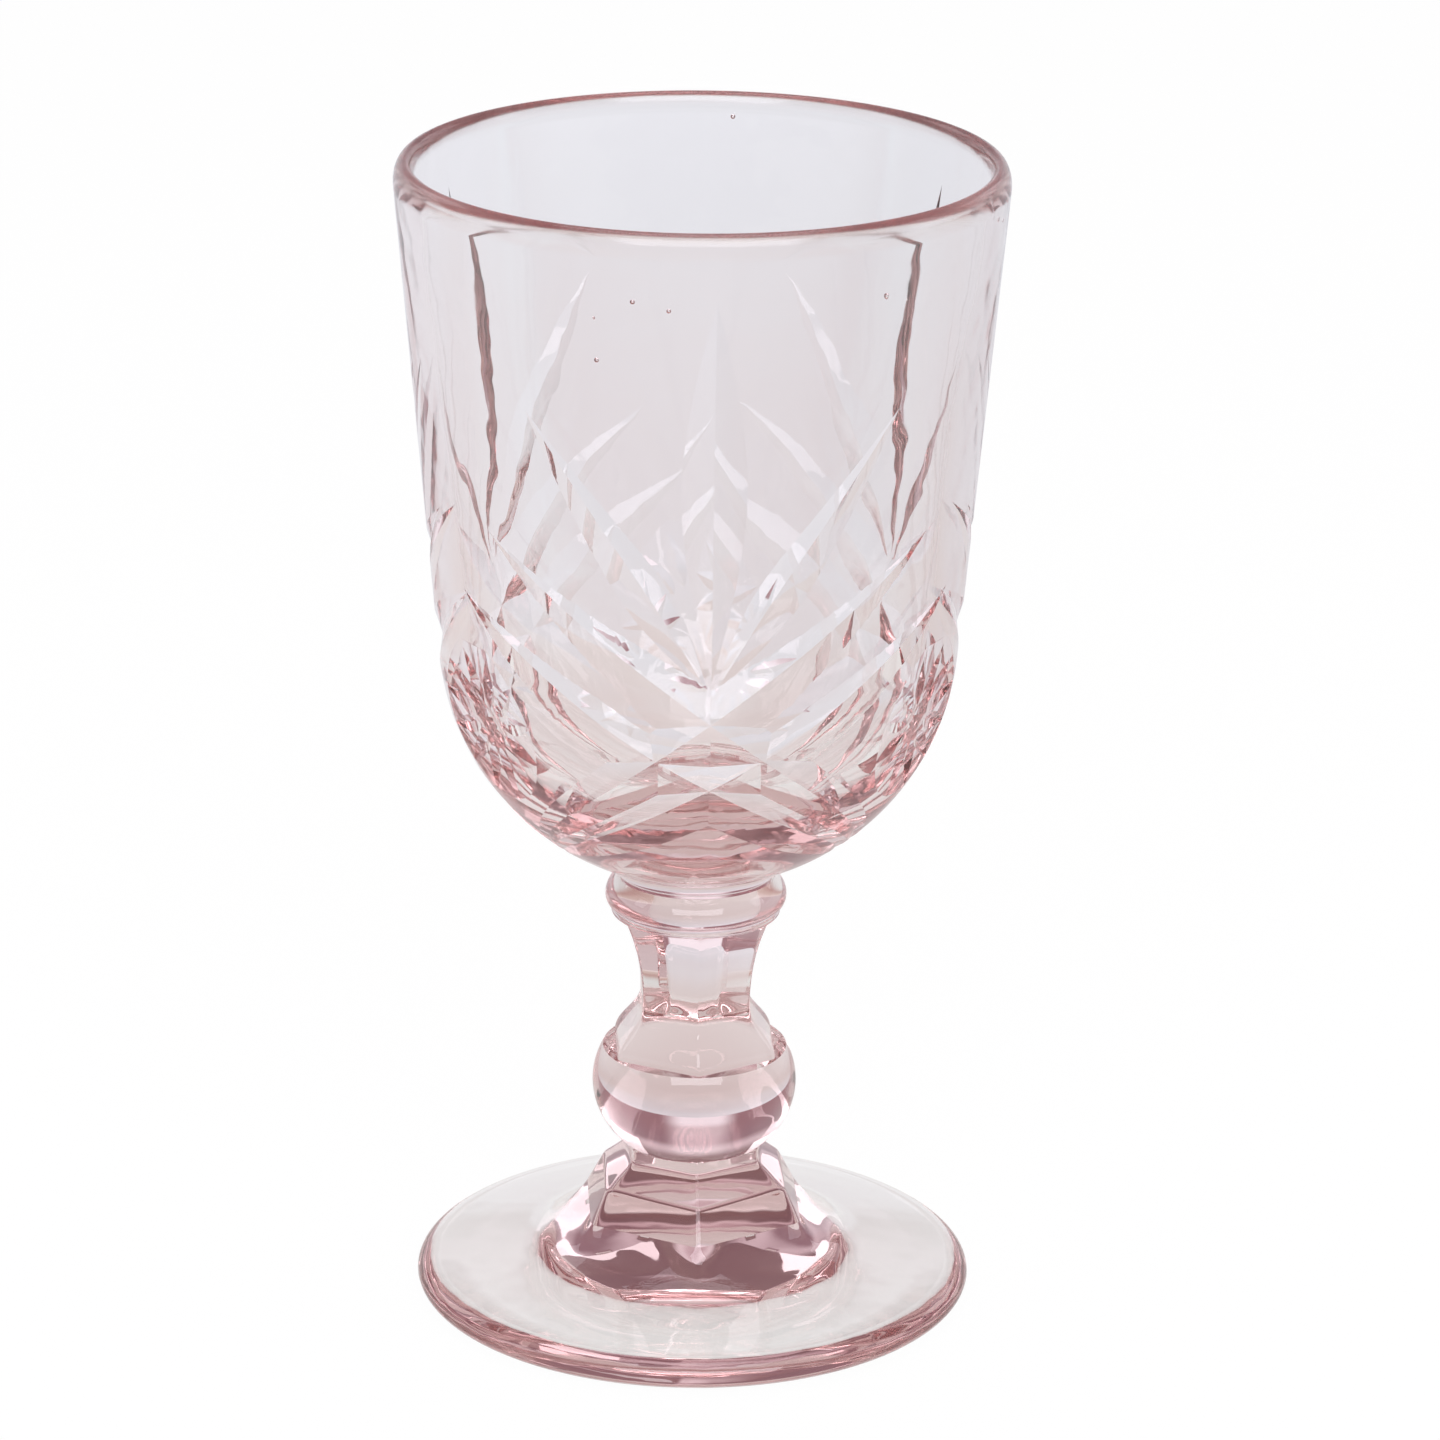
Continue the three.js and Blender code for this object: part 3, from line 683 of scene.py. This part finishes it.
def slab(sink, source):
    """A block whose lower face lies a given depth under the surface it is set on."""
    side = 2 * math.sqrt(2 * BALL * sink) + 3
    x = side / 2
    corners = [(i * x, j * x, k) for k in (-sink, side) for j in (-1, 1) for i in (-1, 1)]
    mesh = bpy.data.meshes.new("slab")
    faces = [(0, 2, 3, 1), (4, 5, 7, 6), (0, 1, 5, 4), (2, 6, 7, 3), (0, 4, 6, 2), (1, 3, 7, 5)]
    mesh.from_pydata([Vector(corner) * MM for corner in corners], [], faces)
    mesh.attributes.new("source", "INT", "FACE").data.foreach_set("value", [source] * len(faces))
    return mesh


def set_on_bowl(mesh, azimuth, s):
    """The mesh moved from the origin on to the bowl, +Z outwards and +Y up the wall."""
    radius, height, lean = outside(s)
    turn = math.radians(azimuth)
    right = Vector((math.cos(turn), math.sin(turn), 0))
    outward = Vector((math.cos(lean) * math.sin(turn), -math.cos(lean) * math.cos(turn), math.sin(lean)))
    upward = outward.cross(right)
    place = Matrix((right, upward, outward)).transposed().to_4x4()
    place.translation = Vector((radius * math.sin(turn), -radius * math.cos(turn), height)) * MM
    mesh.transform(place)
    return mesh


star = star_mesh()
star.transform(Matrix.Translation((0, 0, -ROSETTE_SINK * MM)))
rosette = combined("rosette", "UNION", slab(ROSETTE_SINK, next(sources)), star)
rosette = set_on_bowl(rosette, ROSETTE_AZIMUTH, ROSETTE_PATH)
third = combined("third", "UNION", *fan, rosette)
pattern = run_tree(ring_tree, third, "pattern", Count=3)
print("star", round(volume_of(star)), "third", round(volume_of(third)), "pattern", round(volume_of(pattern)), "mm3")

# %% Bowl
POST_START, POST_PULL, POST_END, POST_SPREAD, POST_IN = 0.6, 2.6, 3.6, 1.4, 6.0
post_profile = [(0, COLLAR_TOP + half, 0), (POST_RADIUS, COLLAR_TOP + half, 0)]
post_profile += curve((POST_RADIUS, COLLAR_TOP + POST_START, 0), (POST_RADIUS, COLLAR_TOP + POST_PULL, 0),
                      (POST_RADIUS + POST_SPREAD, COLLAR_TOP + POST_END, 0), 10)
post_profile += [(POST_RADIUS, COLLAR_TOP + POST_IN, 0), (0, COLLAR_TOP + POST_IN, 0)]
post = turned("post", post_profile)
cut = combined("bowl_cut", "DIFFERENCE", wavy, pattern, seeds)
bowl = combined("bowl", "UNION", cut, post)
print("bowl:", len(bowl.polygons), "faces", round(volume_of(bowl)), "mm3")

# %% [markdown]
# ## Dressing the solids
# Each section becomes an object of its own. Edges between two cuts are marked sharp, all other edges stay smooth,
# and normals weighted by face area keep thin slivers from showing. Then the piece takes the place of its solid.

# %% Pieces
JOINT_REACH, SHARP_ANGLE = 0.015, 35


def mark_sharp(mesh):
    """Marks edges between faces of different cuts, and returns how many there are."""
    source = mesh.attributes.get("source")
    if source is None:
        return 0
    tags = np.empty(len(mesh.polygons), dtype=np.int32)
    source.data.foreach_get("value", tags)
    seen, sharp = {}, np.zeros(len(mesh.edges), dtype=bool)
    edge_of = np.empty(len(mesh.loops), dtype=np.int32)
    mesh.loops.foreach_get("edge_index", edge_of)
    for polygon in mesh.polygons:
        tag = tags[polygon.index]
        for loop in polygon.loop_indices:
            other = seen.setdefault(edge_of[loop], tag)
            if other != tag:
                sharp[edge_of[loop]] = True
    marks = mesh.attributes.get("sharp_edge") or mesh.attributes.new("sharp_edge", "BOOLEAN", "EDGE")
    marks.data.foreach_set("value", sharp)
    return int(sharp.sum())


def mark_joints(mesh):
    """Writes the attribute joint: 1 on the flat faces inside the fused joints, 0 elsewhere."""
    values = []
    for polygon in mesh.polygons:
        level = polygon.center.z / MM
        flat = abs(polygon.normal.z) > 0.999
        values.append(float(flat and any(abs(level - joint) < JOINT_REACH for joint in JOINTS)))
    mesh.attributes.new("joint", "FLOAT", "FACE").data.foreach_set("value", values)
    return int(sum(values))


def dress(node, mesh):
    mesh.materials.clear()
    mesh.materials.append(glass)
    mesh.shade_smooth()
    marked = mark_sharp(mesh)
    if not marked:
        mesh.set_sharp_from_angle(angle=math.radians(SHARP_ANGLE))
    joints = mark_joints(mesh)
    piece = bpy.data.objects.new("glass_" + node, mesh)
    scene.collection.objects.link(piece)
    weigh = piece.modifiers.new("normals", "WEIGHTED_NORMAL")
    weigh.mode, weigh.keep_sharp = "FACE_AREA", True
    plain = bpy.data.meshes.new_from_object(piece.evaluated_get(bpy.context.evaluated_depsgraph_get()))
    piece.modifiers.clear()
    piece.data = plain
    plain.name = "glass_" + node
    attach(piece, "root")
    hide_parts(node)
    print(node, len(plain.polygons), "faces,", marked, "sharp edges,", joints, "joint faces")


for node, mesh in {**stem, "bowl": bowl}.items():
    dress(node, mesh)

# %% [markdown]
# ## Camera
# The camera stands a little above the rim, eight tenths of a metre away, with a long lens. Its turn about the view
# line is small but it shows at the rim, so it is kept.

# %% Camera
DISTANCE, EYE, PITCH, YAW, ROLL, TURN = 810.6, 364.3, 19.022, 0.2218, 0.6033, 2.9
FOCAL, FRAME = 6153.8, 1440


def make_camera():
    pitch, yaw, roll = (math.radians(v) for v in (PITCH, YAW, ROLL))
    forward = Vector((math.sin(yaw) * math.cos(pitch), math.cos(yaw) * math.cos(pitch), -math.sin(pitch)))
    right = forward.cross(Vector((0, 0, 1))).normalized()
    up = right.cross(forward)
    tilted_right = right * math.cos(roll) + up * math.sin(roll)
    tilted_up = up * math.cos(roll) - right * math.sin(roll)
    place = Matrix((tilted_right, tilted_up, -forward)).transposed().to_4x4()
    place.translation = Vector((0, -DISTANCE, EYE)) * MM
    data = bpy.data.cameras.new("camera")
    data.sensor_fit, data.sensor_width = "HORIZONTAL", 36
    data.lens = data.sensor_width * FOCAL / FRAME
    camera = bpy.data.objects.new("camera", data)
    camera.matrix_world = Matrix.Rotation(math.radians(-TURN), 4, "Z") @ place
    scene.collection.objects.link(camera)
    scene.camera = camera
    return camera


camera = make_camera()
print("lens", round(camera.data.lens, 1), "mm")

# %% [markdown]
# ## Studio
# Clear glass has no look of its own: each spot of it shows some place in the room, bent aside. So the studio is
# planned from the glass outwards. Under and behind the goblet lies a white sheet. Seen through the glass and in
# its mirror, the sheet glows with painted light: lighter and darker bands that change with the distance, and a
# little more light on the left than on the right. Above the sheet the room is mauve, darker and lighter in bands,
# so that stem and edges show against it. Only the camera's own view of sheet and room is pure white. What the
# outside mirrors is paler than what shows through the glass. Soft panels add the highlights, and the wide one in
# front draws the cut edges.

# %% Tones of sheet and room
SHEET_GLOW = 0.97
# Painted light: the glow of the sheet through the glass and in its mirror, lighter and darker by the distance.
SHEET_PAINTED_LIGHT = ((-0.90, (0.95, 0.88, 0.86)), (-0.38, (0.74, 0.62, 0.56)), (-0.21, (0.60, 0.42, 0.38)),
               (-0.09, (0.84, 0.94, 0.93)), (0.01, (0.89, 0.90, 0.89)), (0.12, (0.77, 0.72, 0.71)),
               (0.24, (0.80, 0.80, 0.83)), (0.38, (0.80, 0.80, 0.84)), (0.55, (0.81, 0.83, 0.88)),
               (0.80, (0.86, 0.88, 0.94)))
# Painted light: the sheet glows a little brighter on the left than on the right.
SHEET_LEFT_PAINTED_LIGHT, SHEET_RIGHT_PAINTED_LIGHT, SHEET_HALF = 1.04, 0.96, 0.1
ROOM_MIDDLE = ((0.04, (1.10, 1.04, 1.12)), (0.12, (0.77, 0.63, 0.68)), (0.28, (0.72, 0.56, 0.62)),
               (0.38, (0.95, 0.84, 0.90)), (0.50, (0.30, 0.19, 0.20)), (0.78, (0.30, 0.19, 0.19)),
               (0.92, (1.15, 1.20, 1.22)))
ROOM_FLANK = ((0.04, (0.34, 0.17, 0.20)), (0.28, (0.32, 0.18, 0.22)), (0.38, (0.75, 0.60, 0.66)),
              (0.50, (0.26, 0.15, 0.17)), (0.78, (0.30, 0.18, 0.19)), (0.92, (1.05, 1.15, 1.18)))
ROOM_FRONT = (0.72, 0.64, 0.66)
ROOM_MIRRORED = ((0.02, (0.96, 0.97, 1.00)), (0.20, (0.90, 0.89, 0.97)), (0.29, (0.50, 0.42, 0.46)),
                 (0.40, (0.55, 0.47, 0.52)))


def toned(tree, value, stops):
    """A colour that runs softly from stop to stop as a value grows."""
    tone = (*stops[0][1], 1)
    for (start, _), (end, colour) in zip(stops, stops[1:]):
        passed = add(tree, "ShaderNodeMapRange", value, start, end, 0.0, 1.0, interpolation_type="SMOOTHSTEP")
        tone = add(tree, "ShaderNodeMix", passed, tone, (*colour, 1), data_type="RGBA")
    return tone


# %% Floor, lamps and world
FLOOR_HALF, FLOOR_DROP, FLOOR_GRAIN, FLOOR_SHADES = 3.0, 0.4, 300.0, (0.87, 0.89)
BACK_EDGE, FLANK_EDGE = (-0.10, 0.30), (0.12, 0.30)
AIM = (0, 0, 0.09)
COOL, PALE = (0.93, 0.93, 1.0), (0.95, 0.95, 1.0)
LAMPS = {
    "soft_left": ((-0.8, -0.1, 0.55), (0.25, 0.4), 0.5, COOL),
    "soft_right": ((0.8, 0.0, 0.5), (0.25, 0.4), 0.5, COOL),
    "soft_top": ((0.0, 0.1, 1.0), (0.6, 0.6), 2.0, COOL),
    "back_left": ((-0.70, 0.70, 0.72), (0.50, 0.40), 0.9, PALE),
    "back_right": ((0.73, 0.73, 0.56), (0.50, 0.28), 0.5, PALE),
    "front_window": ((0.0, -0.62, 0.60), (0.9, 0.45), 5.0, (0.94, 0.94, 1.0)),
}
BOUNCES = 96


def make_floor():
    mesh = bpy.data.meshes.new("floor")
    far, low = FLOOR_HALF, -FLOOR_DROP * MM
    mesh.from_pydata([(-far, -far, low), (far, -far, low), (far, far, low), (-far, far, low)], [], [(0, 1, 2, 3)])
    material = bpy.data.materials.new("white_sheet")
    material.use_nodes = True
    tree = material.node_tree
    sheet = tree.nodes["Principled BSDF"]
    place = tree.nodes.new("ShaderNodeTexCoord").outputs["Object"]
    grain = add(tree, "ShaderNodeTexNoise", named={"Vector": place, "Scale": FLOOR_GRAIN})
    shade = add(tree, "ShaderNodeMapRange", grain, 0.3, 0.7, *FLOOR_SHADES)
    tree.links.new(shade, sheet.inputs["Base Color"])
    sheet.inputs["Roughness"].default_value = 0.9
    path = tree.nodes.new("ShaderNodeLightPath")
    across, depth = (add(tree, "ShaderNodeSeparateXYZ", place, out=axis) for axis in (0, 1))
    # The sheet's glow here is painted light, in bands by the distance and a little more on the left; the camera sees
    # white.
    tone = toned(tree, depth, SHEET_PAINTED_LIGHT)
    painted_side_light = add(tree, "ShaderNodeMapRange", across, -SHEET_HALF, SHEET_HALF, SHEET_LEFT_PAINTED_LIGHT, SHEET_RIGHT_PAINTED_LIGHT)
    tone = vector(tree, "SCALE", tone, painted_side_light)
    tone = add(tree, "ShaderNodeMix", path.outputs["Is Camera Ray"], tone, (1, 1, 1, 1), data_type="RGBA")
    glow = add(tree, "ShaderNodeEmission", tone, 1.0)
    looked_at = calc(tree, "MAXIMUM", path.outputs["Is Camera Ray"], path.outputs["Is Transmission Ray"])
    looked_at = calc(tree, "MAXIMUM", looked_at, path.outputs["Is Glossy Ray"])
    share = calc(tree, "MULTIPLY", looked_at, SHEET_GLOW)
    mix = add(tree, "ShaderNodeMixShader", share, sheet.outputs[0], glow)
    tree.links.new(mix, tree.nodes["Material Output"].inputs["Surface"])
    mesh.materials.append(material)
    floor = bpy.data.objects.new("floor", mesh)
    scene.collection.objects.link(floor)


def make_lamp(name, place, size, power, colour):
    data = bpy.data.lights.new(name, "AREA")
    data.shape, data.size, data.size_y = "RECTANGLE", size[0], size[1]
    data.energy, data.color = power, colour
    lamp = bpy.data.objects.new(name, data)
    lamp.location = place
    lamp.rotation_euler = (Vector(AIM) - Vector(place)).to_track_quat("-Z", "Y").to_euler()
    scene.collection.objects.link(lamp)


def make_world():
    world = bpy.data.worlds.new("studio")
    scene.world = world
    world.use_nodes = True
    tree = world.node_tree
    tree.nodes.clear()
    way = tree.nodes.new("ShaderNodeTexCoord").outputs["Generated"]
    depth = add(tree, "ShaderNodeSeparateXYZ", way, out=1)
    rise = add(tree, "ShaderNodeSeparateXYZ", way, out=2)
    back = add(tree, "ShaderNodeMapRange", depth, *BACK_EDGE, 0.0, 1.0, interpolation_type="SMOOTHSTEP")
    aside = calc(tree, "ABSOLUTE", add(tree, "ShaderNodeSeparateXYZ", way, out=0))
    flank = add(tree, "ShaderNodeMapRange", aside, *FLANK_EDGE, 0.0, 1.0, interpolation_type="SMOOTHSTEP")
    behind = add(tree, "ShaderNodeMix", flank, toned(tree, rise, ROOM_MIDDLE), toned(tree, rise, ROOM_FLANK),
                 data_type="RGBA")
    sides = add(tree, "ShaderNodeMix", back, (*ROOM_FRONT, 1), behind, data_type="RGBA")
    path = tree.nodes.new("ShaderNodeLightPath")
    outside = calc(tree, "SUBTRACT", 1.0, path.outputs["Is Transmission Ray"])
    mirrored = calc(tree, "MULTIPLY", outside, path.outputs["Is Glossy Ray"])
    seen = add(tree, "ShaderNodeMix", mirrored, sides, toned(tree, rise, ROOM_MIRRORED), data_type="RGBA")
    seen = add(tree, "ShaderNodeMix", path.outputs["Is Camera Ray"], seen, (1, 1, 1, 1), data_type="RGBA")
    background = add(tree, "ShaderNodeBackground", seen, 1.0)
    tree.links.new(background, tree.nodes.new("ShaderNodeOutputWorld").inputs["Surface"])


make_floor()
for name, (place, size, power, colour) in LAMPS.items():
    make_lamp(name, place, size, power, colour)
make_world()
scene.view_settings.view_transform = "Standard"
scene.cycles.max_bounces = scene.cycles.transmission_bounces = BOUNCES
scene.cycles.glossy_bounces = scene.cycles.transparent_max_bounces = BOUNCES
print("lamps:", ", ".join(LAMPS))
